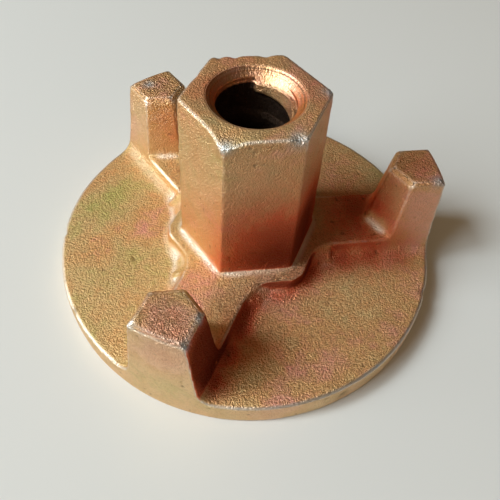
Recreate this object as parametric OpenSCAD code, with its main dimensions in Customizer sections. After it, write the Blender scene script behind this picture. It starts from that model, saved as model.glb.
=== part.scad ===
// Formwork wing nut: one casting with a round bearing flange, three ribs that run out to three
// driving lugs, and a tall hexagon boss bored for a tie rod. Millimetres, bearing face on z = 0.

/* [Flange] */
// Outer diameter of the bearing flange
flange_d = 100; // [96:1:112]
// Thickness of the flange at its rim
flange_t = 7; // [5:0.5:9]
// Chamfer of the lower rim edge
rim_chamfer = 0.6; // [0.3:0.1:1]

/* [Hexagon boss] */
// Height of the boss above the bearing face
boss_h = 53.2; // [44:0.1:62]
// Width across flats, half way up the boss
hex_af = 30.1; // [29:0.1:33]
// Draft of the hexagon faces, in degrees
hex_draft = 1.5; // [0.5:0.25:2]
// How much of each top corner of the hexagon is turned off
hex_turned = 0.5; // [0.3:0.1:1.2]

/* [Raised pad and ribs] */
// Height of the pad above the flange
pad_h = 4.2; // [3.6:0.1:6]
// Ledge of the pad round the foot of the hexagon
pad_ledge = 3.7; // [2.5:0.1:4.5]
// How far the pad's corners reach past the middle of its sides
pad_corner = 2.1; // [1.5:0.1:2.5]
// Height of the ribs above the flange
rib_h = 4.1; // [3.5:0.1:5]
// Width of a rib along its top
rib_w = 17.2; // [15:0.1:19]
// Fillet from the pad down to the flange
pad_fillet = 2.6; // [1.5:0.1:3.2]
// Fillet from the ribs down to the flange
rib_fillet = 4; // [3.4:0.1:5]

/* [Lugs] */
// Number of lugs, evenly spaced
lug_count = 3; // [2:1:3]
// Height of the lugs above the bearing face
lug_h = 29.9; // [24:0.1:34]
// Width of a lug across its top
lug_w = 12.8; // [11:0.1:13.5]
// Distance from the axis to the nose of a lug, along its top
lug_nose = 35.3; // [33:0.1:38]
// Angle between the two faces of the nose
nose_angle = 120; // [100:1:150]
// Draft of the sides and the nose, in degrees
lug_draft = 6.5; // [4:0.25:7]
// Draft of the outer faces above the parting line, in degrees
outer_draft = 4; // [2:0.25:5]
// Bevel round the top of a lug, at its sides and its outer edge
lug_bevel = 0.7; // [0.3:0.1:0.8]
// Bevel at the top of a lug's nose
nose_bevel = 1; // [0.9:0.1:1.4]
// Fillet where the nose stands on its rib
nose_fillet = 1.4; // [0.8:0.1:2]

/* [Bore] */
// Diameter of the bore over the thread crests
bore_d = 15.6; // [15.2:0.1:17]
// Diameter of the countersink in the top face
top_sink_d = 21.4; // [19:0.1:23]
// Diameter of the countersink in the bearing face
base_sink_d = 19; // [18:0.1:21]
// Slope of both countersinks, in degrees from the face
sink_angle = 45; // [35:1:50]

/* [Hidden] */
$fn = 96;
arc_steps = 6;
skin = 1;
far = 4 * max(flange_d, boss_h);
flange_r = flange_d / 2;
pad_z = flange_t + pad_h;
rib_z = flange_t + rib_h;
parting_z = flange_t / 2;
outer_lean = tan(outer_draft);
hex_mid_z = boss_h / 2;
hex_foot_af = hex_af + 2 * (hex_mid_z - pad_z) * tan(hex_draft);
hex_top_af = hex_af - 2 * (boss_h - hex_mid_z) * tan(hex_draft);
pad_af = hex_foot_af + 2 * pad_ledge;
hex_faces = [for (i = [0:5]) 30 + 60 * i];
nose_side = 90 + nose_angle / 2;

// Points of a hollow quarter round of radius r, from its foot at [x + r, z] up to [x, z + r]
function hollow_round(x, z, r) = [
    for (i = [0:arc_steps])
        let (a = 90 * i / arc_steps) [x + r - r * sin(a), z + r - r * cos(a)]
];

function mirrored(points) = [for (i = [len(points) - 1:-1:0]) [-points[i][0], points[i][1]]];

// Half outline of a raised bar h high: down into the flange, up its foot fillet and up its side
function half_bar(half_w, h, fillet) =
    let (r = min(fillet, h - skin / 10))
    concat(
        [[half_w + r, flange_t - skin]],
        hollow_round(half_w, flange_t, r),
        [[half_w, flange_t + h]]
    );

// Everything under faces that stand round the axis. Each face is [bearing, distance at z_ref, lean],
// and it leans inwards going up.
module leaning_faces(faces, z_ref) {
    intersection_for (face = faces)
        rotate([0, 0, face[0]])
            translate([face[1], 0, z_ref])
                rotate([0, -face[2], 0])
                    translate([-far, -far / 2, -far / 2])
                        cube([far, far, far]);
}

// Everything between two heights
module slice(z0, z1) {
    translate([-far / 2, -far / 2, z0])
        cube([far, far, z1 - z0]);
}

// Straight bar along X with a foot fillet on each side
module raised_bar(half_w, h, fillet, x0, x1) {
    side = half_bar(half_w, h, fillet);
    translate([x0, 0, 0])
        rotate([90, 0, 90])
            linear_extrude(height = x1 - x0)
                polygon(concat(side, mirrored(side)));
}

module flange() {
    cylinder(h = flange_t, r = flange_r + skin);
}

// Outline that trims the flange, the rib ends and the lugs flush with each other: an upright rim up
// to the parting line, and a drafted cone from there
module envelope() {
    top_z = boss_h + skin;
    rotate_extrude()
        polygon([
            [0, 0],
            [flange_r - rim_chamfer, 0],
            [flange_r, rim_chamfer],
            [flange_r, parting_z],
            [flange_r - (top_z - parting_z) * outer_lean, top_z],
            [0, top_z]
        ]);
}

// Pad that follows the hexagon, with its corners turned off round
module pad() {
    corner_side = half_bar(pad_af / 2 + pad_corner, pad_h, pad_fillet * 0.8);
    intersection() {
        intersection_for (turn = [0:60:120])
            rotate([0, 0, turn])
                raised_bar(pad_af / 2, pad_h, pad_fillet, -flange_r, flange_r);
        rotate_extrude()
            polygon(concat([[0, flange_t - skin]], corner_side, [[0, pad_z]]));
    }
}

module rib() {
    raised_bar(rib_w / 2, rib_h, rib_fillet, 0, flange_r + skin);
}

// The two sides of a lug, in the form that leaning_faces takes
function lug_sides(spread, lean) = [
    for (way = [90, -90]) [way, lug_w / 2 + spread, lean]
];

// The two faces of a lug's nose
function lug_noses(spread, lean) = [
    for (way = [nose_side, -nose_side]) [way, spread - lug_nose * sin(nose_angle / 2), lean]
];

module lug() {
    intersection() {
        slice(flange_t - skin, lug_h);
        leaning_faces(concat(lug_sides(0, lug_draft), lug_noses(0, lug_draft)), lug_h);
        leaning_faces(concat(lug_sides(-lug_bevel, 45), lug_noses(-nose_bevel, 45)), lug_h);
        lug_bevel_cone();
    }
}

// Bevel of the outer edge, as a cone that is concentric with the rim
module lug_bevel_cone() {
    top_r = flange_r - (lug_h - parting_z) * outer_lean - lug_bevel;
    drop = flange_r;
    translate([0, 0, lug_h - drop])
        cylinder(h = drop, r1 = top_r + drop, r2 = top_r);
}

// Skirt where the nose stands on its rib, in two leaning steps that follow a hollow round
module nose_foot() {
    drop = (lug_h - rib_z) * tan(lug_draft);
    for (a = [30, 60]) {
        rise = nose_fillet * (1 - sin(a));
        reach = nose_fillet * (1 - cos(a));
        intersection() {
            slice(rib_z - skin, rib_z + 2 * nose_fillet);
            leaning_faces(lug_sides(0, lug_draft), lug_h);
            leaning_faces(lug_noses(drop + reach, a), rib_z + rise);
            lug_bevel_cone();
        }
    }
}

module hex_boss() {
    intersection() {
        slice(flange_t - skin, boss_h);
        leaning_faces([for (a = hex_faces) [a, hex_af / 2, hex_draft]], hex_mid_z);
        turned_cone();
    }
}

// Cone that the top corners of the hexagon are turned off to
module turned_cone() {
    top_r = hex_top_af / 2 / cos(30) - hex_turned;
    drop = boss_h - flange_t + skin;
    translate([0, 0, boss_h - drop])
        cylinder(h = drop, r1 = top_r + drop, r2 = top_r);
}

module bore() {
    top_drop = (top_sink_d - bore_d) / 2 * tan(sink_angle);
    base_drop = (base_sink_d - bore_d) / 2 * tan(sink_angle);
    rotate_extrude()
        polygon([
            [0, -skin],
            [base_sink_d / 2 + skin / tan(sink_angle), -skin],
            [bore_d / 2, base_drop],
            [bore_d / 2, boss_h - top_drop],
            [top_sink_d / 2 + skin / tan(sink_angle), boss_h + skin],
            [0, boss_h + skin]
        ]);
}

module wing_nut() {
    color("goldenrod")
        difference() {
            intersection() {
                union() {
                    flange();
                    pad();
                    hex_boss();
                    for (i = [0:lug_count - 1])
                        rotate([0, 0, 360 * i / lug_count]) {
                            rib();
                            lug();
                            nose_foot();
                        }
                }
                envelope();
            }
            bore();
        }
}

wing_nut();
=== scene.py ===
import bpy, bmesh, math
import numpy as np
from mathutils import Matrix, Vector


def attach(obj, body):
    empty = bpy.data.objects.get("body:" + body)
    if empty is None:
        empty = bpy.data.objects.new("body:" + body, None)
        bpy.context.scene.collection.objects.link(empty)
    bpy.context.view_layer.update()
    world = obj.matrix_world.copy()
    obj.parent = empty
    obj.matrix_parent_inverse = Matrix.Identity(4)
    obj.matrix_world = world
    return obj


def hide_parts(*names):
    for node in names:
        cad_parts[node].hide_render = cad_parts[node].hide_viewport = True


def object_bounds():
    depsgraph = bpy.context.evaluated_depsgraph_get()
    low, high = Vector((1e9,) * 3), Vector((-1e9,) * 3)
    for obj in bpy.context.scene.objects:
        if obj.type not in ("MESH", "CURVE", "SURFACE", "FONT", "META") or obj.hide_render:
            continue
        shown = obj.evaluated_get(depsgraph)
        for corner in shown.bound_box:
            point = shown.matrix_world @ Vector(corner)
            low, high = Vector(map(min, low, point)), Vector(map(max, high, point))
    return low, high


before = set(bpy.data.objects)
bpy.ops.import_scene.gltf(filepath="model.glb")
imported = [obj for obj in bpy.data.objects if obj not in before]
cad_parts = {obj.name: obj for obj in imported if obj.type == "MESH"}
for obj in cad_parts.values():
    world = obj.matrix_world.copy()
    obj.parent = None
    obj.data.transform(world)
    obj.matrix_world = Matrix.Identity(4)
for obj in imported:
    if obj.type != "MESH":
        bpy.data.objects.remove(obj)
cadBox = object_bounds()
scene = bpy.context.scene
print("frame loaded")

# the camera leans over the nut from the front
cameraStand = {
    "distance": 0.1374,                    # metres from the point looked at
    "height": 53.0,                        # degrees above the bench
    "round": 259.0,                        # degrees round the nut, from +X
    "roll": 4.65,                          # degrees the camera leans over
    "aim": (-0.00047, -0.00867, 0.01111),  # the point looked at
    "lens": 37.79,                         # mm, on a 36 mm wide sensor
}


def standCamera(c):
    # back = (cos h cos r, cos h sin r, sin h), right = Z x back, up = back x right, both then rolled
    h, r, t = (math.radians(c[key]) for key in ("height", "round", "roll"))
    back = Vector((math.cos(h) * math.cos(r), math.cos(h) * math.sin(r), math.sin(h)))
    right = Vector((0, 0, 1)).cross(back).normalized()
    up = back.cross(right)
    axes = Matrix((right * math.cos(t) + up * math.sin(t), up * math.cos(t) - right * math.sin(t), back))
    place = axes.transposed().to_4x4()
    place.translation = Vector(c["aim"]) + back * c["distance"]
    lens = bpy.data.cameras.new("camera")
    lens.sensor_width = 36
    lens.lens = c["lens"]
    lens.clip_start = 0.01
    camera = bpy.data.objects.new("camera", lens)
    camera.matrix_world = place
    scene.collection.objects.link(camera)
    scene.camera = camera


standCamera(cameraStand)
print("camera stands")

# the cast and plated nut; all lengths in metres, all angles in degrees round the nut from +X
nutCasting = {
    "grid": 0.00032,          # cell size the skin is cast on
    "triangles": 190000,      # the most the finished casting may have
    "hollowRounds": 40,       # passes that fill the inner corners
    "edgeRounds": 3,          # passes that wear the outer edges round
    "hollowPull": 0.9,        # how far each of those passes moves a point
    "edgePull": 0.6,
    "keepLow": 0.0015,        # nothing is filled below this height or inside this radius
    "keepIn": 0.0085,
    "wave": 0.00009,          # slow unevenness of the cast skin
    "lump": 0.000035,         # small lumps
    "pitDepth": 0.00016,      # scattered casting pits
    "toolMarks": 0.00002,     # unevenness of the turned faces
    "waveSize": 0.006,        # how wide each of the four is
    "lumpSize": 0.0016,
    "pitSize": 0.0011,
    "markSize": 0.0012,
    "pitch": 0.010,           # rod thread, height of one turn
    "crest": 0.0078,          # radius on the thread crests
    "depth": 0.0010,          # how deep the thread grooves go
    "crestTall": 0.0052,      # how tall a crest is
    "flank": 0.0007,          # how tall the slope beside a crest is
    "firstCrest": 0.0476,     # underside of the top crest where it starts
    "threadStart": 85.5,      # where the top crest starts, with a blunt end
    "bench": 0.00012,         # points lower than this lie on the bench
}
dents = [  # where, how wide, how deep; a depth below zero stands proud
    {"at": (-0.0252, -0.0052, 0.0080), "wide": 0.0009, "deep": 0.0004},
    {"at": (-0.0308, -0.0055, 0.0072), "wide": 0.0007, "deep": 0.0004},
    {"at": (-0.0287, -0.0020, 0.0072), "wide": 0.0012, "deep": -0.0002},
    {"at": (0.0436, -0.0233, 0.0068), "wide": 0.0011, "deep": 0.0005},
    {"at": (0.0171, -0.0468, 0.0034), "wide": 0.0013, "deep": 0.0004},
    {"at": (0.0066, -0.0140, 0.0532), "wide": 0.0011, "deep": 0.0005},
    {"at": (-0.0494, 0.0051, 0.0066), "wide": 0.0012, "deep": 0.0004},
    {"at": (-0.0452, -0.0200, 0.0066), "wide": 0.0010, "deep": 0.0003},
    {"at": (-0.0130, 0.0080, 0.0532), "wide": 0.0014, "deep": 0.0003},
    {"at": (-0.0066, 0.0138, 0.0532), "wide": 0.0008, "deep": 0.0005},
    {"at": (-0.0030, 0.0143, 0.0532), "wide": 0.0010, "deep": 0.0004},
    {"at": (0.0040, 0.0142, 0.0532), "wide": 0.0012, "deep": 0.0004},
    {"at": (-0.0136, -0.0075, 0.0532), "wide": 0.0010, "deep": 0.0003},
    {"at": (-0.0262, -0.0352, 0.0298), "wide": 0.0010, "deep": 0.0003},
    {"at": (-0.0180, -0.0436, 0.0295), "wide": 0.0012, "deep": 0.0004},
]
hammered = {  # a corner of the boss, beaten down and out
    "at": (-0.0086, -0.0146, 0.0532), "wide": 0.0034, "down": 0.0014, "out": 0.0004,
}


def smoothStep(x, low, high):
    # 3t^2 - 2t^3 with t = (x - low) / (high - low), held between 0 and 1
    t = np.clip((x - low) / (high - low), 0, 1)
    return t * t * (3 - 2 * t)


def valueNoise(p, size, seed):
    # -1 to 1: a number hashed for each corner of a cell of this size, blended over the cell by 3t^2 - 2t^3
    q = p / size + 500.0
    corner = np.floor(q).astype(np.int64)
    t = q - corner
    t = t * t * (3 - 2 * t)
    total = np.zeros(len(p))
    for k in range(8):
        step = np.array([k & 1, k >> 1 & 1, k >> 2 & 1])
        c = corner + step
        h = (c[:, 0] * 73856093) ^ (c[:, 1] * 19349663) ^ (c[:, 2] * 83492791) ^ (seed * 40503)
        h = ((h ^ (h >> 13)) * 1274126177) & 0x7FFFFFFF
        h = (h ^ (h >> 15)) & 0xFFFFF
        total += h / 0xFFFFF * np.where(step, t, 1 - t).prod(1)
    return total * 2 - 1


def readPoints(mesh, what="co"):
    flat = np.empty(len(mesh.vertices) * 3)
    mesh.vertices.foreach_get(what, flat)
    return flat.reshape(-1, 3)


def readEdges(mesh):
    flat = np.empty(len(mesh.edges) * 2, np.int64)
    mesh.edges.foreach_get("vertices", flat)
    return flat.reshape(-1, 2)


def writePoints(mesh, p):
    mesh.vertices.foreach_set("co", p.astype(np.float32).ravel())
    mesh.update()


def neighbourMean(v, edges):
    # mean of each point's neighbours, for one value or three
    many = v.reshape(len(v), -1)
    count = np.maximum(np.bincount(edges.ravel(), minlength=len(v)), 1)
    a, b = edges.T
    total = [
        np.bincount(a, many[b, k], len(v)) + np.bincount(b, many[a, k], len(v))
        for k in range(many.shape[1])
    ]
    return (np.stack(total, 1) / count[:, None]).reshape(v.shape)


def takeModifier(piece, kind, **settings):
    # gives the piece the mesh that the modifier makes of it
    modifier = piece.modifiers.new(kind.lower(), kind)
    for name, value in settings.items():
        setattr(modifier, name, value)
    mesh = bpy.data.meshes.new_from_object(piece.evaluated_get(bpy.context.evaluated_depsgraph_get()))
    piece.modifiers.clear()
    old, piece.data = piece.data, mesh
    bpy.data.meshes.remove(old)


webs = {  # the soft inner corners where a rib runs into the pad, seen from above; lengths in mm
    "ribs": (0, 120, 240),     # degrees round the nut
    "ribHalf": 8.6,            # from a rib's middle to its side
    "padHalf": 19.16,          # from the axis to a side of the pad
    "round": 7.0,              # radius of the corner, seen from above
    "footAtRib": 4.0,          # radius of the hollow foot at each end
    "footAtPad": 2.6,
    "disc": 7.0,               # heights of the disc and of the web's top
    "top": 11.08,
    "tuck": 1.5,               # how far it reaches down into the disc
    "reach": 1.2,              # how far it reaches into rib and pad, times the corner's radius
    "stations": 41,            # profiles along the corner
    "footPoints": 15,          # points on the hollow foot of a profile
}


def webSurface(w, turn, side):
    # swept profile: point = corner centre + d(v) * (cos u, sin u), u over 60 degrees from the pad to the rib,
    # d and z along v: a hollow quarter round of radius f(u) from the disc up, the top, and back underneath
    centreY = w["ribHalf"] + w["round"]
    centreX = (w["padHalf"] + w["round"] - 0.5 * centreY) / math.cos(math.radians(30))
    count = w["stations"]
    t = np.linspace(0, 1, count)[:, None]
    foot = w["footAtPad"] + (w["footAtRib"] - w["footAtPad"]) * t
    bend = np.linspace(0, math.pi / 2, w["footPoints"])[None, :]
    d = np.concatenate([
        w["round"] - foot * np.sin(bend[:, ::-1]),
        np.full((count, 1), w["round"]),
        np.full((count, 2), w["reach"] * w["round"]),
        w["round"] - foot,
    ], 1)
    z = np.concatenate([
        w["disc"] + foot * (1 - np.cos(bend[:, ::-1]))[:, ::-1],
        np.full((count, 2), w["top"]),
        np.full((count, 2), w["disc"] - w["tuck"]),
    ], 1)
    u = np.radians(210 + 60 * t)
    x, y = centreX + d * np.cos(u), (centreY + d * np.sin(u)) * side
    a = math.radians(turn)
    return np.stack([x * math.cos(a) - y * math.sin(a), x * math.sin(a) + y * math.cos(a), z], 2) / 1000


def closedSweep(grid):
    # quads between neighbouring stations of a closed profile, and a cap at each end
    rows, points = grid.shape[:2]
    i, j = np.meshgrid(np.arange(rows - 1), np.arange(points), indexing="ij")
    here, k = i * points, (j + 1) % points
    there = here + points
    quads = np.stack([here + j, here + k, there + k, there + j], 2).reshape(-1, 4)
    caps = [list(range(points)), list(range((rows - 1) * points, rows * points))]
    return grid.reshape(-1, 3), quads.tolist() + caps


def castSkin(s):
    # the nut's solid and its webs, welded and laid together on an even fine grid
    solid = bmesh.new()
    solid.from_mesh(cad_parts["wing_nut"].data)
    bmesh.ops.remove_doubles(solid, verts=solid.verts, dist=1e-6)
    for turn in webs["ribs"]:
        for side in (1, -1):
            points, faces = closedSweep(webSurface(webs, turn, side))
            part = bpy.data.meshes.new("web")
            part.from_pydata(points.tolist(), [], faces)
            solid.from_mesh(part)
            bpy.data.meshes.remove(part)
    bmesh.ops.recalc_face_normals(solid, faces=solid.faces)
    mesh = bpy.data.meshes.new("wing_nut_casting")
    solid.to_mesh(mesh)
    solid.free()
    piece = bpy.data.objects.new("wing_nut_casting", mesh)
    scene.collection.objects.link(piece)
    takeModifier(piece, "REMESH", mode="VOXEL", voxel_size=s["grid"], adaptivity=0.0)
    return piece


def softenSkin(piece, s):
    # inner corners: a point moves out by the part of (neighbour mean - point) along its normal
    # edges: by all of (neighbour mean - point)
    mesh = piece.data
    p, edges = readPoints(mesh), readEdges(mesh)
    free = (p[:, 2] > s["keepLow"]) & (np.hypot(p[:, 0], p[:, 1]) > s["keepIn"])
    for k in range(s["hollowRounds"]):
        if k % 4 == 0:  # the normals change slowly
            writePoints(mesh, p)
            n = readPoints(mesh, "normal")
        rise = ((neighbourMean(p, edges) - p) * n).sum(1)
        p += n * np.where(free & (rise > 0), s["hollowPull"] * rise, 0)[:, None]
    for k in range(s["edgeRounds"]):
        p += (neighbourMean(p, edges) - p) * s["edgePull"]
    writePoints(mesh, p)


bends = {  # how sharp a bend counts as worn or hollow, from none to all
    "worn": (0.025, 0.10),
    "hollow": (0.008, 0.028),
    "boss": (0.0190, 0.0210),        # radius where the boss ends
    "bossTop": (0.0495, 0.0510),     # height where its top edge starts
    "bossLess": 0.8,                 # how much less worn the boss is
    "bossTopMore": 0.45,             # how much of that its top edge gets back
}


def mark(mesh, name, values):
    layer = mesh.attributes.new(name, "FLOAT", "POINT")
    layer.data.foreach_set("value", values.astype(np.float32))


def markBends(piece, b):
    # bend = (point - neighbour mean) along the normal, over the edge length
    # hollows come from the same, smoothed further
    mesh = piece.data
    p, n, edges = readPoints(mesh), readPoints(mesh, "normal"), readEdges(mesh)
    bend = ((p - neighbourMean(p, edges)) * n).sum(1)
    span = np.linalg.norm(p[edges[:, 0]] - p[edges[:, 1]], axis=1)
    ends = edges.ravel()
    bend /= np.bincount(ends, np.repeat(span, 2), len(p)) / np.bincount(ends, minlength=len(p))
    for k in range(2):
        bend = 0.4 * bend + 0.6 * neighbourMean(bend, edges)
    boss = 1 - smoothStep(np.hypot(p[:, 0], p[:, 1]), *b["boss"])
    less = b["bossLess"] - b["bossTopMore"] * smoothStep(p[:, 2], *b["bossTop"])
    worn = smoothStep(bend, *b["worn"]) * (1 - boss * less)
    for k in range(8):
        bend = 0.3 * bend + 0.7 * neighbourMean(bend, edges)
    hollow = smoothStep(-bend, *b["hollow"])
    mark(mesh, "worn", worn * (1 - hollow))
    mark(mesh, "hollow", hollow)


turnedZones = {  # the machined faces, in metres
    "top": (0.0515, 0.0528),     # heights between which the cast skin ends
    "bossWide": 0.0185,          # radius round the boss
    "boreWide": 0.0100,          # radius round the bore
    "under": (0.0004, 0.0015),   # heights between which the underside's skin starts
}


def pitting(p, s):
    # 1 in a pit: where noise of the pits' size is high
    return smoothStep(valueNoise(p, s["pitSize"], 9), 0.72, 0.95)


def bumps(p, places):
    # for each place, 1 at its middle and exp(-(distance / wide)^2) away from it
    for q in places:
        yield q, np.exp(-(np.linalg.norm(p - np.array(q["at"]), axis=1) / q["wide"]) ** 2)


def roughenSkin(piece, s, zones):
    # height = wave * noise + lump * noise - pitDepth * pitting on cast faces, toolMarks * noise on turned ones
    mesh = piece.data
    p, n = readPoints(mesh), readPoints(mesh, "normal")
    r = np.hypot(p[:, 0], p[:, 1])
    turned = smoothStep(p[:, 2], *zones["top"]) * (r < zones["bossWide"]) + (r < zones["boreWide"])
    under = 1 - smoothStep(p[:, 2], *zones["under"])
    cast = np.clip(1 - turned - under, 0, 1)
    height = s["wave"] * valueNoise(p, s["waveSize"], 3) + s["lump"] * valueNoise(p, s["lumpSize"], 5)
    height -= s["pitDepth"] * pitting(p, s)
    marks = s["toolMarks"] * valueNoise(p, s["markSize"], 12)
    height = height * cast + marks * np.clip(turned, 0, 1)
    for dent, bite in bumps(p, dents):
        height -= dent["deep"] * bite
    p = p + n * height[:, None]
    _, bite = next(bumps(p, [hammered]))
    outward = p[:, :2] / np.maximum(np.hypot(p[:, 0], p[:, 1]), 1e-6)[:, None]
    p[:, 2] -= hammered["down"] * bite
    ragged = 1 + 0.6 * valueNoise(p, s["lumpSize"], 21)
    p[:, :2] += outward * (hammered["out"] * bite * ragged)[:, None]
    writePoints(mesh, p)


def threadCrest(p, s):
    # crest: 1 on a crest, 0 in a groove; turns: turns above the underside of the top crest
    # clockwise: degrees from where that crest starts
    angle = np.degrees(np.arctan2(p[:, 1], p[:, 0]))
    clockwise = (s["threadStart"] - angle) % 360
    turns = (p[:, 2] - s["firstCrest"]) / s["pitch"] + clockwise / 360
    part = turns % 1.0
    low = smoothStep(part, 0, s["flank"] / s["pitch"])
    high = 1 - smoothStep(part, (s["crestTall"] - s["flank"]) / s["pitch"], s["crestTall"] / s["pitch"])
    crest = low * high * (turns < 1)
    bluntEnd = np.where(turns > 0, smoothStep(clockwise, 0, 5), 1)
    return crest * bluntEnd, turns, clockwise


def cutThread(piece, s):
    # radius = max(radius, crest + depth * (1 - threadCrest))
    mesh = piece.data
    p = readPoints(mesh)
    r = np.hypot(p[:, 0], p[:, 1])
    wall = (r < s["crest"] + s["depth"]) & (p[:, 2] > 0.0002)
    want = np.maximum(r, s["crest"] + s["depth"] * (1 - threadCrest(p, s)[0]))
    grow = np.where(wall, want / np.maximum(r, 1e-6), 1)
    p[:, :2] *= grow[:, None]
    edges = readEdges(mesh)
    for k in range(2):
        p += (neighbourMean(p, edges) - p) * (0.5 * wall)[:, None]
    writePoints(mesh, p)


def trimSkin(piece, s):
    # holds the casting inside its own box and its underside flat on the bench
    low, high = (np.array(v) for v in cadBox)
    mesh = piece.data
    p = np.clip(readPoints(mesh), low, high)
    p[:, 2] = np.where(p[:, 2] < s["bench"], 0, p[:, 2])
    writePoints(mesh, p)
    count = len(mesh.polygons) * 2
    ratio = min(1.0, s["triangles"] / count)
    takeModifier(piece, "DECIMATE", ratio=ratio, use_collapse_triangulate=True)
    writePoints(piece.data, np.clip(readPoints(piece.data), low, high))
    piece.data.shade_smooth()


nut = castSkin(nutCasting)
print("skin cast,", len(nut.data.vertices), "points")
softenSkin(nut, nutCasting)
markBends(nut, bends)
roughenSkin(nut, nutCasting, turnedZones)
cutThread(nut, nutCasting)
trimSkin(nut, nutCasting)
print("nut shaped,", len(nut.data.polygons), "triangles")

# where the plating changes, and where shade and light are painted onto it: metres from the middle of the
# underside, how wide a patch is, and how much
tints = [  # a tone above zero is pink, below zero olive
    {"at": (-0.0133, -0.0228, 0.0111), "wide": 0.0085, "tone": 0.16},
    {"at": (-0.0266, 0.0044, 0.0070), "wide": 0.0070, "tone": 0.26},
    {"at": (-0.0377, 0.0158, 0.0070), "wide": 0.0100, "tone": -0.30},
    {"at": (-0.0306, -0.0078, 0.0070), "wide": 0.0070, "tone": -0.22},
    {"at": (-0.0403, -0.0205, 0.0070), "wide": 0.0060, "tone": 0.12},
    {"at": (-0.0219, -0.0369, 0.0299), "wide": 0.0055, "tone": 0.24},
    {"at": (-0.0166, -0.0311, 0.0299), "wide": 0.0035, "tone": -0.70},
    {"at": (0.0019, -0.0303, 0.0070), "wide": 0.0060, "tone": -0.16},
    {"at": (0.0030, -0.0225, 0.0070), "wide": 0.0060, "tone": 0.20},
    {"at": (0.0105, -0.0240, 0.0070), "wide": 0.0060, "tone": 0.14},
    {"at": (0.0218, -0.0206, 0.0070), "wide": 0.0080, "tone": -0.16},
    {"at": (0.0265, -0.0328, 0.0070), "wide": 0.0080, "tone": 0.10},
    {"at": (0.0450, -0.0064, 0.0200), "wide": 0.0090, "tone": 0.50},
    {"at": (-0.0260, 0.0390, 0.0220), "wide": 0.0090, "tone": 0.16},
    {"at": (-0.0131, -0.0090, 0.0450), "wide": 0.0090, "tone": -0.20},
    {"at": (-0.0360, -0.0040, 0.0070), "wide": 0.0160, "tone": -0.12},
    {"at": (0.0415, 0.0000, 0.0300), "wide": 0.0080, "tone": 0.08},
    {"at": (0.0120, 0.0020, 0.0530), "wide": 0.0070, "tone": 0.30},
    {"at": (0.0300, 0.0250, 0.0070), "wide": 0.0150, "tone": 0.10},
    {"at": (-0.0250, -0.0450, 0.0080), "wide": 0.0100, "tone": -0.16},
    {"at": (-0.0240, -0.0430, 0.0240), "wide": 0.0080, "tone": 0.50},
]
redAndShadeSpots = [  # a red tint on some tops, and painted shade: dark red put where the surface lies in shade, in corners, under parts and in cast shadows; below zero takes it away
    {"at": (0.0280, 0.0040, 0.0100), "wide": 0.0130, "much": 0.50},
    {"at": (0.0430, 0.0000, 0.0300), "wide": 0.0070, "much": 0.50},
    {"at": (-0.0240, -0.0365, 0.0305), "wide": 0.0060, "much": 0.12},
    {"at": (0.0120, 0.0010, 0.0532), "wide": 0.0080, "much": 0.38},
    {"at": (-0.0020, 0.0130, 0.0532), "wide": 0.0070, "much": 0.25},
    {"at": (-0.0215, 0.0370, 0.0305), "wide": 0.0060, "much": 0.20},
    {"at": (0.0340, -0.0040, 0.0111), "wide": 0.0080, "much": 0.75},
    {"at": (0.0320, 0.0060, 0.0111), "wide": 0.0080, "much": 0.60},
    {"at": (0.0338, -0.0015, 0.0127), "wide": 0.0022, "much": -1.50},
    {"at": (0.0356, -0.0046, 0.0127), "wide": 0.0022, "much": -1.50},
    {"at": (0.0245, -0.0115, 0.0080), "wide": 0.0035, "much": 0.80},
    {"at": (0.0325, -0.0118, 0.0078), "wide": 0.0038, "much": 0.75},
    {"at": (0.0405, -0.0118, 0.0078), "wide": 0.0035, "much": 0.60},
    {"at": (0.0300, 0.0250, 0.0070), "wide": 0.0140, "much": 0.10},
    {"at": (0.0010, -0.0335, 0.0070), "wide": 0.0060, "much": 0.25},
    {"at": (-0.0130, -0.0425, 0.0080), "wide": 0.0035, "much": 1.30},
    {"at": (-0.0097, -0.0358, 0.0080), "wide": 0.0038, "much": 1.60},
    {"at": (-0.0054, -0.0296, 0.0080), "wide": 0.0034, "much": 1.40},
    {"at": (-0.0028, -0.0255, 0.0082), "wide": 0.0029, "much": 1.10},
    {"at": (-0.0004, -0.0222, 0.0080), "wide": 0.0027, "much": 0.90},
    {"at": (0.0046, -0.0210, 0.0080), "wide": 0.0024, "much": 0.80},
    {"at": (0.0087, -0.0198, 0.0080), "wide": 0.0026, "much": 0.80},
    {"at": (0.0122, -0.0178, 0.0080), "wide": 0.0030, "much": 0.90},
    {"at": (0.0155, -0.0140, 0.0080), "wide": 0.0035, "much": 1.00},
    {"at": (0.0200, -0.0090, 0.0100), "wide": 0.0090, "much": 0.40},
    {"at": (-0.0095, 0.0030, 0.0505), "wide": 0.0060, "much": 0.75},
]
wallRedAndShadeSpots = [  # the same red tint and painted shade, on upright faces only
    {"at": (-0.0060, -0.0165, 0.0130), "wide": 0.0090, "much": 0.50},
    {"at": (0.0010, -0.0165, 0.0130), "wide": 0.0090, "much": 0.80},
    {"at": (0.0140, -0.0080, 0.0250), "wide": 0.0090, "much": 0.70},
    {"at": (0.0020, -0.0155, 0.0350), "wide": 0.0120, "much": 0.20},
    {"at": (0.0140, -0.0080, 0.0400), "wide": 0.0120, "much": 0.18},
    {"at": (0.0080, -0.0155, 0.0130), "wide": 0.0090, "much": 0.50},
    {"at": (-0.0040, -0.0160, 0.0260), "wide": 0.0100, "much": 0.46},
    {"at": (0.0060, -0.0160, 0.0260), "wide": 0.0100, "much": 0.48},
    {"at": (0.0135, -0.0070, 0.0180), "wide": 0.0120, "much": 1.45},
    {"at": (-0.0135, -0.0390, 0.0140), "wide": 0.0100, "much": 1.90},
    {"at": (-0.0150, -0.0405, 0.0235), "wide": 0.0110, "much": 1.60},
    {"at": (-0.0170, 0.0300, 0.0200), "wide": 0.0065, "much": 0.60},
    {"at": (0.0340, 0.0000, 0.0200), "wide": 0.0070, "much": 0.40},
]
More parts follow.
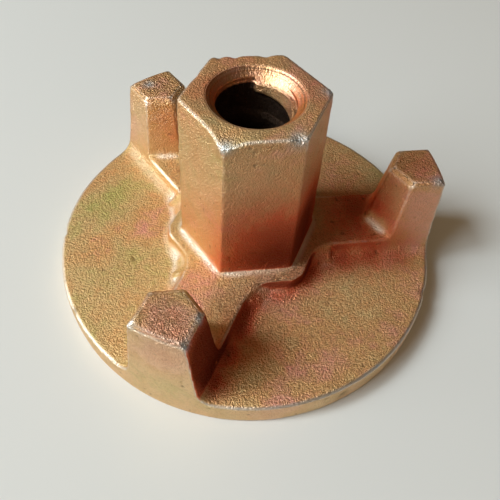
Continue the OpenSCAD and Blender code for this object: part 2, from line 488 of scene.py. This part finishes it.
paleLitSpots = [  # painted light: paler plating where the bench's light and reflection are painted in; the outer faces have it too
    {"at": (0.0450, -0.0064, 0.0200), "wide": 0.0120, "much": 0.45},
    {"at": (-0.0240, 0.0330, 0.0200), "wide": 0.0120, "much": 0.80},
    {"at": (0.0000, -0.0150, 0.0460), "wide": 0.0100, "much": 0.25},
    {"at": (-0.0131, -0.0078, 0.0300), "wide": 0.0180, "much": 0.55},
]
dulls = [  # duller and grittier plating
    {"at": (-0.0215, -0.0372, 0.0300), "wide": 0.0080, "much": 0.65},
    {"at": (-0.0080, -0.0245, 0.0111), "wide": 0.0065, "much": 0.60},
    {"at": (0.0010, -0.0205, 0.0111), "wide": 0.0060, "much": 0.80},
    {"at": (0.0090, -0.0190, 0.0111), "wide": 0.0060, "much": 0.80},
    {"at": (0.0150, -0.0150, 0.0111), "wide": 0.0045, "much": 0.50},
    {"at": (-0.0210, 0.0365, 0.0300), "wide": 0.0060, "much": 0.40},
    {"at": (0.0000, 0.0000, 0.0532), "wide": 0.0180, "much": 0.45},
    {"at": (0.0110, 0.0040, 0.0532), "wide": 0.0080, "much": 0.45},
]
scuffs = [  # corners rubbed down to bare zinc
    {"at": (-0.0150, -0.0385, 0.0297), "wide": 0.0012},
    {"at": (-0.0178, -0.0440, 0.0292), "wide": 0.0012},
    {"at": (-0.0285, -0.0380, 0.0290), "wide": 0.0009},
    {"at": (0.0066, -0.0140, 0.0530), "wide": 0.0020},
    {"at": (-0.0080, -0.0142, 0.0520), "wide": 0.0016},
    {"at": (0.0460, -0.0055, 0.0295), "wide": 0.0014},
    {"at": (0.0160, 0.0000, 0.0530), "wide": 0.0018},
    {"at": (-0.0240, 0.0375, 0.0297), "wide": 0.0015},
]


plateZones = {  # heights and radii in metres; the other pairs are parts of a normal, or degrees
    "top": (0.0524, 0.0530),         # height of the turned top face
    "topUp": (0.7, 0.9),             # how far up it faces
    "topHole": 0.0106,               # radius of the countersink at the top
    "sink": (0.0500, 0.0506),        # height where the countersink starts
    "sinkWide": 0.0108,
    "sandyUp": (0.45, 0.9),          # how far up a sandy face looks
    "upright": (0.3, 0.6),           # a face that looks further up than this isn't a side
    "outerOut": (0.7, 0.9),          # how far out an outer face looks
    "outer": (0.0425, 0.0445),       # radius where the outer faces start
    "outerPaleLit": 0.75,               # how pale they are: thinner plating, with the bench's reflection painted in
    "land": (0.0430, 0.0465),        # height where the visible top crest starts
    "landEnd": (190, 250),           # degrees clockwise from its start over which it fades out
    "struckBelow": 0.028,            # dents below this height are dark
}


def paintMasks(piece, z):
    # masks for the plating and for the painted light and shade, each 0 to 1, but for the red tint and painted
    # shade up to 2 and a tone on both sides of 0
    mesh = piece.data
    p, n = readPoints(mesh), readPoints(mesh, "normal")
    r = np.hypot(p[:, 0], p[:, 1])
    top = smoothStep(p[:, 2], *z["top"]) * smoothStep(n[:, 2], *z["topUp"])
    sink = smoothStep(p[:, 2], *z["sink"]) * (r < z["sinkWide"])

    def spots(places, key=None):
        # sum of the places' bumps, each times its own value of the key
        return sum((q[key] if key else 1.0) * bump for q, bump in bumps(p, places))

    crest, turns, clockwise = threadCrest(p, nutCasting)
    land = crest * (turns > 0) * smoothStep(p[:, 2], *z["land"]) * (1 - smoothStep(clockwise, *z["landEnd"]))
    pit = pitting(p, nutCasting) * (1 - np.clip(top + sink, 0, 1))
    struck = spots([d for d in dents if d["deep"] > 0]) * (p[:, 2] < z["struckBelow"])
    outwards = (p[:, 0] * n[:, 0] + p[:, 1] * n[:, 1]) / np.maximum(r, 1e-6)
    outer = smoothStep(outwards, *z["outerOut"]) * smoothStep(r, *z["outer"])
    upright = 1 - smoothStep(n[:, 2], *z["upright"])
    masks = {
        "turned": np.clip(top, 0, 1) * (r > z["topHole"]),
        "sink": np.clip(sink, 0, 1),
        "sandy": np.clip(smoothStep(n[:, 2], *z["sandyUp"]) * (1 - top - sink), 0, 1),
        "land": land,
        "pit": np.clip(pit + struck, 0, 1),
        # paler plating with painted light and bench reflection
        "paleLit": np.clip(z["outerPaleLit"] * outer + spots(paleLitSpots, "much") * upright, 0, 1),
        "dull": np.clip(spots(dulls, "much"), 0, 1),
        # red tint and painted shade, up to 2 where the painted shade is near black
        "redAndShade": np.clip(spots(redAndShadeSpots, "much") + spots(wallRedAndShadeSpots, "much") * upright, 0, 2) * (1 - outer),
        "scuff": np.clip(spots(scuffs), 0, 1),
        "tone": spots(tints, "tone"),
    }
    for name, values in masks.items():
        mark(mesh, name, values)


paintMasks(nut, plateZones)

# yellow passivated zinc on cast iron
platedZinc = {
    "tones": [  # place on the ramp from olive to pink, and colour
        (0.0, (0.59, 0.52, 0.18)),
        (0.28, (0.75, 0.52, 0.24)),
        (0.5, (0.80, 0.46, 0.20)),
        (0.72, (0.86, 0.42, 0.30)),
        (1.0, (0.84, 0.30, 0.18)),
    ],
    "redTintAndShadeZinc": (0.76, 0.18, 0.09),     # a red tint, and painted shade in shaded corners
    "deepShadeRed": (0.26, 0.045, 0.025),   # painted shade, near black, in the darkest of them
    "highlightAndWearZinc": (0.98, 0.88, 0.80),  # painted highlight on hollows, and on worn edges together with their wear
    "paleLitZinc": (1.0, 0.80, 0.53),     # paler plating with painted light and bench reflection, on the outer faces and the listed spots
    "dullZinc": (0.50, 0.35, 0.20),    # where it is dull and gritty
    "bareZinc": (0.55, 0.60, 0.64),    # on scuffs and worn edges
    "lowZinc": (0.40, 0.20, 0.07),     # between the grains
    "pitZinc": (0.16, 0.08, 0.03),     # in pits
    "boreShadeColour": (0.04, 0.025, 0.02),   # painted shade inside the bore
    "glance": (0.80, 0.52, 0.30),      # tint where the skin is seen at a glance
    "sideRough": 0.43,          # shine of the drafted sides
    "sandRough": 0.62,          # shine of the sandy upper skin
    "turnedRough": 0.66,        # shine of the top face
    "hollowRough": 0.30,        # shine of the hollows
    "sinkRough": 0.40,          # shine of the countersink
    "leastRough": 0.24,         # nothing shines more than this
    "film": 0.4,                # how much of the clear passivation film lies over the zinc
    "filmRough": 0.28,          # shine of the film
    "filmBend": 1.5,            # refractive index of the film
    "grain": 0.00044,           # metres, height of the sand grain
    "toneSize": 0.015,          # metres, size of the colour patches
    "fleckSize": 0.0026,        # metres, size of the flecks in them
    "grainSize": 0.00052,       # metres, size of a sand grain
    "fineSize": 0.45,           # the finest grain, times a sand grain
    "patchTone": (0.17, 0.65),  # where the patches lie on the ramp, and how far the flecks shift them
    "fleckTone": (-0.12, 0.12),
    "sinkTone": 0.06,           # how much pinker the countersink is
    "hollowHighlight": 0.75,       # how bright the painted highlights on hollows are, and on worn edges with their wear
    "wearAndSheen": 0.80,
    "lowDark": 0.38,            # how dark the low spots between the grains are
    "pitDark": 0.5,             # how dark pits are
    "boreShade": 0.98,          # how dark the painted shade in the bore is
    "sideGrain": 0.80,          # height of the grain on drafted sides, times the grain
    "wornGrain": 0.38,          # on worn edges
    "dullGrain": 2.0,           # on dull plating
    "streakSize": 0.035,        # radians, width of the streaks that run down the countersink
    "streakRun": 60.0,          # how fast they change on the way down
    "streakTall": 0.40,         # their height, times the grain
    "ringGap": 0.00075,         # metres between the turned rings near the countersink's rim
    "ringTall": 0.10,           # their height, times the grain
    "boreTop": (0.0499, 0.0503),   # height where the painted shade of the bore ends
    "boreWide": (0.0092, 0.0095),  # and its radius
    "ringsFrom": (0.0092, 0.0098), # radius where the rings start
    "webTop": (0.0125, 0.0145),    # height under which dull plating hides wear and the painted highlights
}


class Wiring:
    # adds nodes to a tree and joins them
    def __init__(self, tree):
        self.tree = tree

    def add(self, kind, inputs=None, **settings):
        node = self.tree.nodes.new(kind)
        for name, value in settings.items():
            setattr(node, name, value)
        for name, value in (inputs or {}).items():
            if isinstance(value, bpy.types.NodeSocket):
                self.tree.links.new(value, node.inputs[name])
            else:
                node.inputs[name].default_value = value
        return node

    def join(self, value, node, name):
        self.tree.links.new(value, node.inputs[name])

    def math(self, what, a, b=0.0, hold=False):
        return self.add("ShaderNodeMath", {0: a, 1: b}, operation=what, use_clamp=hold).outputs[0]

    def plus(self, a, b, hold=False):
        return self.math("ADD", a, b, hold)

    def minus(self, a, b, hold=False):
        return self.math("SUBTRACT", a, b, hold)

    def times(self, a, b, hold=False):
        return self.math("MULTIPLY", a, b, hold)

    def vector(self, what, a, b=None, out="Vector"):
        inputs = {0: a} if b is None else {0: a, 1: b}
        return self.add("ShaderNodeVectorMath", inputs, operation=what).outputs[out]

    def noise(self, place, size, detail, rough):
        inputs = {"Vector": place, "Scale": 1.0 / size, "Detail": detail, "Roughness": rough}
        return self.add("ShaderNodeTexNoise", inputs).outputs["Fac"]

    def mask(self, name):
        return self.add("ShaderNodeAttribute", attribute_name=name).outputs["Fac"]

    def band(self, value, low, high, first=0.0, last=1.0):
        inputs = {"Value": value, "From Min": low, "From Max": high, "To Min": first, "To Max": last}
        return self.add("ShaderNodeMapRange", inputs).outputs[0]

    def blend(self, amount, a, b):
        node = self.add("ShaderNodeMix", data_type="RGBA", blend_type="MIX")
        for socket, value in ((node.inputs[0], amount), (node.inputs[6], a), (node.inputs[7], b)):
            if isinstance(value, bpy.types.NodeSocket):
                self.tree.links.new(value, socket)
            elif isinstance(value, tuple):
                socket.default_value = (*value, 1.0)
            else:
                socket.default_value = value
        return node.outputs[2]


def readPlace(w, s):
    # masks and noises at a point of the skin, by name
    names = ("sandy", "turned", "sink", "worn", "hollow", "land", "pit", "redAndShade", "paleLit", "dull", "scuff", "tone")
    m = {name: w.mask(name) for name in names}
    place = w.add("ShaderNodeTexCoord").outputs["Object"]
    m["flat"] = w.vector("MULTIPLY", place, (1.0, 1.0, 0.0))
    m["away"] = w.vector("LENGTH", m["flat"], out="Value")
    above = w.add("ShaderNodeSeparateXYZ", {0: place}).outputs["Z"]
    # painted shade: the bore dark below its top and inside its radius, but not on the visible top crest
    bore = w.times(w.band(above, *s["boreTop"], 1.0, 0.0), w.band(m["away"], *s["boreWide"], 1.0, 0.0))
    m["bore"] = w.times(bore, w.minus(1.0, m["land"]))
    shown = w.minus(1.0, w.times(m["dull"], w.band(above, *s["webTop"], 0.9, 0.0)))
    m["worn"], m["hollow"] = w.times(m["worn"], shown), w.times(m["hollow"], shown)
    m["patch"] = w.noise(place, s["toneSize"], 3.0, 0.6)
    m["fleck"] = w.noise(place, s["fleckSize"], 3.0, 0.6)
    m["grain"] = w.noise(place, s["grainSize"], 2.0, 0.6)
    m["fine"] = w.noise(place, s["grainSize"] * s["fineSize"], 1.0, 0.5)
    return m


def plateColour(w, s, m):
    # tones, then pale plating with painted light, dull, the red tint and painted shade in red and deep red,
    # painted highlights on hollows and on edges worn bright, low spots, pits, bare zinc, the painted shade of
    # the bore
    patches = w.band(m["patch"], 0.3, 0.7, *s["patchTone"])
    flecks = w.band(m["fleck"], 0.25, 0.75, *s["fleckTone"])
    mood = w.plus(w.plus(w.plus(patches, flecks), m["tone"]), w.times(m["sink"], s["sinkTone"]))
    ramp = w.add("ShaderNodeValToRGB", {"Fac": mood})
    while len(ramp.color_ramp.elements) < len(s["tones"]):
        ramp.color_ramp.elements.new(0.5)
    for element, (at, tone) in zip(ramp.color_ramp.elements, s["tones"]):
        element.position = at
        element.color = (*tone, 1.0)
    # painted light: paler plating where the bench's light and reflection are painted in
    paleLit = w.times(m["paleLit"], w.band(m["fleck"], 0.35, 0.65, 0.50, 0.80))
    dull = w.times(m["dull"], w.band(m["fleck"], 0.35, 0.6, 1.0, 0.6))
    # red tint and painted shade: dark red in shaded corners and cast shadows, and near black where the mask is
    # above 1
    redAndShade = w.times(m["redAndShade"], w.band(m["fleck"], 0.35, 0.6, 0.75, 1.0), hold=True)
    # painted highlight: hollows made light and whitish, and worn edges too, from wear and painted highlight;
    # none where the red tint and painted shade lie
    bright = w.plus(w.times(m["hollow"], s["hollowHighlight"]), w.times(m["worn"], s["wearAndSheen"]), hold=True)
    bright = w.times(bright, w.minus(1.0, m["redAndShade"], hold=True))
    lows = w.times(w.band(m["grain"], 0.36, 0.54, s["lowDark"], 0.0), w.band(m["sandy"], 0.0, 1.0, 0.5, 1.0))
    lows = w.times(lows, w.minus(1.0, w.plus(w.plus(m["hollow"], m["sink"]), m["worn"]), hold=True))
    rubbed = w.plus(m["scuff"], w.times(m["worn"], w.band(m["fleck"], 0.58, 0.76)), hold=True)
    bare = w.times(rubbed, w.band(m["grain"], 0.3, 0.5, 0.3, 0.8))
    colour = ramp.outputs[0]
    for amount, name in (
        (paleLit, "paleLitZinc"),
        (dull, "dullZinc"),
        (redAndShade, "redTintAndShadeZinc"),
        (w.band(m["redAndShade"], 1.0, 2.0), "deepShadeRed"),
        (bright, "highlightAndWearZinc"),
        (lows, "lowZinc"),
        (w.times(m["pit"], s["pitDark"]), "pitZinc"),
        (bare, "bareZinc"),
        (w.times(m["bore"], s["boreShade"]), "boreShadeColour"),
    ):
        colour = w.blend(amount, colour, s[name])
    return colour


def plateRoughness(w, s, m):
    # sides or sand, a little uneven; then the turned faces, dull grit, bright grains, worn edges, hollows, pits
    rough = w.band(m["sandy"], 0.0, 1.0, s["sideRough"], s["sandRough"])
    rough = w.plus(rough, w.band(m["fleck"], 0.3, 0.7, -0.04, 0.05))
    rough = w.plus(rough, w.times(m["turned"], s["turnedRough"] - s["sideRough"]))
    rough = w.plus(rough, w.times(m["sink"], s["sinkRough"] - s["sideRough"]))
    rough = w.minus(rough, w.times(w.times(m["dull"], m["sandy"]), 0.36))
    rough = w.minus(rough, w.times(m["sandy"], w.band(m["fine"], 0.54, 0.72, 0.0, 0.24)))
    rough = w.minus(rough, w.times(m["worn"], 0.14))
    rough = w.math("MINIMUM", rough, w.band(m["hollow"], 0.0, 1.0, 0.8, s["hollowRough"]))
    return w.plus(w.math("MAXIMUM", rough, s["leastRough"]), w.times(m["pit"], 0.2))


def plateRelief(w, s, m):
    # sand grain, lower on worn and turned faces, with streaks and rings in the countersink
    around = w.vector("NORMALIZE", m["flat"])
    down = w.add("ShaderNodeCombineXYZ", {"Z": w.times(m["away"], s["streakRun"])}).outputs[0]
    streak = w.noise(w.vector("ADD", around, down), s["streakSize"], 2.0, 0.6)
    rings = w.math("SINE", w.times(m["away"], 2 * math.pi / s["ringGap"]))
    rings = w.times(rings, w.band(m["away"], *s["ringsFrom"]))
    height = w.plus(m["grain"], w.times(m["fine"], 0.6))
    smoothed = w.plus(w.times(m["hollow"], 0.2), m["worn"])
    machined = w.plus(w.times(m["turned"], 0.30), m["sink"])
    for factor in (
        w.band(m["sandy"], 0.0, 1.0, s["sideGrain"], 1.0),
        w.band(smoothed, 0.0, 1.0, 1.0, s["wornGrain"]),
        w.band(m["dull"], 0.0, 1.0, 1.0, s["dullGrain"]),
        w.band(machined, 0.0, 1.0, 1.0, 0.0),
    ):
        height = w.times(height, factor)
    cone = w.plus(w.times(streak, s["streakTall"]), w.times(rings, s["ringTall"]))
    height = w.plus(height, w.times(cone, m["sink"]))
    return w.add("ShaderNodeBump", {"Strength": 1.0, "Distance": s["grain"], "Height": height}).outputs[0]


def makePlatedZinc(s):
    material = bpy.data.materials.new("plated_zinc")
    material.use_nodes = True
    w = Wiring(material.node_tree)
    shader = material.node_tree.nodes["Principled BSDF"]
    shader.inputs["Metallic"].default_value = 1.0
    shader.inputs["Coat Roughness"].default_value = s["filmRough"]
    shader.inputs["Coat IOR"].default_value = s["filmBend"]
    shader.inputs["Specular Tint"].default_value = (*s["glance"], 1.0)
    m = readPlace(w, s)
    w.join(plateColour(w, s, m), shader, "Base Color")
    # no film where the bore's painted shade and the red tint and painted shade lie
    w.join(w.band(w.plus(m["bore"], m["redAndShade"]), 0.0, 1.0, s["film"], 0.0), shader, "Coat Weight")
    w.join(plateRoughness(w, s, m), shader, "Roughness")
    relief = plateRelief(w, s, m)
    w.join(relief, shader, "Normal")
    w.join(relief, shader, "Coat Normal")
    return material


nut.data.materials.clear()
nut.data.materials.append(makePlatedZinc(platedZinc))
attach(nut, "root")
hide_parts("wing_nut")
print("nut plated")

# the bench, an upright window to the left with a lamp in front of it, and a dim room
bench = {
    "colour": (0.680, 0.674, 0.662),
    "lift": (0.042, 0.024, 0.010),   # glow that keeps the shadow warm and pale, and lights nothing
    "half": 1.5,                     # metres from its middle to its sides
    "rough": 0.7,
    "shine": 0.2,
}
coolWhite = (0.86, 0.97, 1.0)
panes = [  # round = degrees round the nut from +X, tilt = degrees the pane leans down towards the nut
    {
        "name": "window", "round": 193.5, "away": 1.0, "middle": 0.96, "wide": 0.76, "tall": 1.12,
        "tilt": 0, "power": 20.0, "colour": coolWhite,
    },
    {
        "name": "lamp", "round": 181.0, "away": 0.88, "middle": 0.96, "wide": 0.24, "tall": 0.40,
        "tilt": 47, "power": 7.4, "colour": coolWhite,
    },
    {
        "name": "roomLamp", "round": 243.0, "away": 0.95, "middle": 0.98, "wide": 0.30, "tall": 0.30,
        "tilt": 46, "power": 1.2, "colour": (1.0, 0.78, 0.52),
    },
]
room = {
    "round": 185.0,                 # the side the glow comes from
    "glow": 0.75,                   # brightness of the walls on that side, at bench height
    "top": 0.95,                    # how high the glow reaches; 1 is overhead
    "rest": 0.054,                  # the rest of the room
    "colour": (1.0, 0.73, 0.42),
}


def makeBench(b):
    h = b["half"]
    mesh = bpy.data.meshes.new("bench_top")
    mesh.from_pydata([(-h, -h, 0), (h, -h, 0), (h, h, 0), (-h, h, 0)], [], [(0, 1, 2, 3)])
    benchTop = bpy.data.objects.new("bench_top", mesh)
    scene.collection.objects.link(benchTop)
    material = bpy.data.materials.new("bench_paper")
    material.use_nodes = True
    shader = material.node_tree.nodes["Principled BSDF"]
    shader.inputs["Base Color"].default_value = (*b["colour"], 1)
    shader.inputs["Roughness"].default_value = b["rough"]
    shader.inputs["Specular IOR Level"].default_value = b["shine"]
    shader.inputs["Emission Color"].default_value = (*b["lift"], 1)
    w = Wiring(material.node_tree)
    w.join(w.add("ShaderNodeLightPath").outputs["Is Camera Ray"], shader, "Emission Strength")
    mesh.materials.append(material)


def hangPane(d):
    light = bpy.data.lights.new(d["name"], "AREA")
    light.shape = "RECTANGLE"
    light.size, light.size_y = d["wide"], d["tall"]
    light.energy = d["power"]
    light.color = d["colour"]
    turn, tilt = math.radians(d["round"]), math.radians(d["tilt"])
    out = Vector((math.cos(turn), math.sin(turn), 0))
    back = out * math.cos(tilt) + Vector((0, 0, math.sin(tilt)))
    pane = bpy.data.objects.new(d["name"], light)
    pane.location = out * d["away"] + Vector((0, 0, d["middle"]))
    pane.rotation_euler = back.to_track_quat("Z", "Y").to_euler()
    scene.collection.objects.link(pane)


def lightRoom(r):
    # brightness = rest + glow * max(0, cos of the angle from the glow's side) * (1 - up / top), held above zero
    world = bpy.data.worlds.new("room")
    world.use_nodes = True
    scene.world = world
    w = Wiring(world.node_tree)
    way = w.add("ShaderNodeTexCoord").outputs["Generated"]
    turn = math.radians(r["round"])
    side = w.vector("DOT_PRODUCT", way, (math.cos(turn), math.sin(turn), 0.0), "Value")
    up = w.vector("DOT_PRODUCT", way, (0.0, 0.0, 1.0), "Value")
    glow = w.times(w.band(side, 0.0, 1.0, 0.0, r["glow"]), w.band(up, 0.0, r["top"], 1.0, 0.0))
    background = world.node_tree.nodes["Background"]
    background.inputs["Color"].default_value = (*r["colour"], 1)
    w.join(w.plus(glow, r["rest"]), background, "Strength")


makeBench(bench)
for pane in panes:
    hangPane(pane)
lightRoom(room)
scene.view_settings.view_transform = "Standard"
print("bench and light set")
